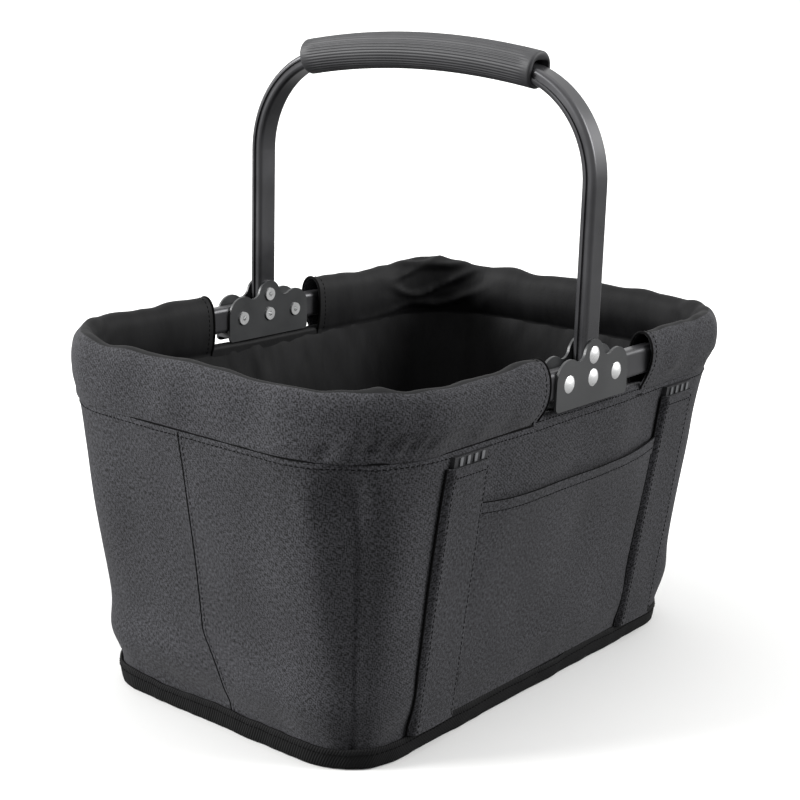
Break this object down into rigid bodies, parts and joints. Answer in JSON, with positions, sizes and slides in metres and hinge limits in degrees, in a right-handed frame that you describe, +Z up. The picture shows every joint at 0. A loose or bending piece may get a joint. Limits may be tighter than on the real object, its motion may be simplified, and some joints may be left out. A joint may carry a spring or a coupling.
{
  "type": "folding handlebar basket",
  "caption": "Fabric basket on a folding metal rim with a fixed carrying bow, pocketed front and an adapter plate for a handlebar bracket.",
  "frame": {"origin": "centre of the bounding box's bottom, on the surface the basket stands on", "axes": "+X along the length, -Y towards the pocket, +Y towards the adapter plate, +Z up"},
  "size_m": [0.383, 0.268, 0.3822],
  "materials": {
    "outer_fabric": "melange polyester weave",
    "lining_fabric": "smooth nylon",
    "webbing": "ribbed webbing",
    "frame_metal": "satin black anodised aluminium",
    "plate_metal": "satin black powder coat",
    "rivet_steel": "bright zinc",
    "grip_rubber": "ribbed soft rubber",
    "black_plastic": "moulded, fine grain",
    "foam_sheet": "polyethylene foam",
    "backing_metal": "mill finish"
  },
  "bodies": {
    "root": {"handle_bow": "frame_metal", "handle_grip": "grip_rubber", "handle_plugs": "black_plastic", "handle_rivets": "rivet_steel", "pivot_rivets": "rivet_steel", "front_outer_plate": "plate_metal", "front_inner_plate": "plate_metal", "rear_outer_plate": "plate_metal", "rear_inner_plate": "plate_metal", "bag_shell": "outer_fabric", "bag_lining": "lining_fabric", "bottom_panel": "outer_fabric", "base_board": "black_plastic", "bottom_binding": "webbing", "front_hem": "outer_fabric", "rear_hem": "outer_fabric", "front_pad": "foam_sheet", "rear_pad": "foam_sheet", "left_pad": "foam_sheet", "right_pad": "foam_sheet", "front_pocket": "outer_fabric", "slat_channel_left": "outer_fabric", "slat_channel_right": "outer_fabric", "slat_left": "black_plastic", "slat_right": "black_plastic", "rear_adapter": "black_plastic", "rear_backing_plate": "backing_metal", "rear_bolts": "rivet_steel"},
    "rim_left": {"rim_tube_left": "frame_metal", "rim_bushes_left": "black_plastic", "rim_sleeve_left": "outer_fabric"},
    "rim_right": {"rim_tube_right": "frame_metal", "rim_bushes_right": "black_plastic", "rim_sleeve_right": "outer_fabric"}
  },
  "joints": [
    {"name": "rim_left_fold", "type": "hinge", "parent": "root", "child": "rim_left", "pos_m": [-0.0243, 0, 0.197], "axis": [0, 1, 0], "range_deg": [0, 85]},
    {"name": "rim_right_fold", "type": "hinge", "parent": "root", "child": "rim_right", "pos_m": [0.0243, 0, 0.197], "axis": [0, -1, 0], "range_deg": [0, 85]}
  ]
}
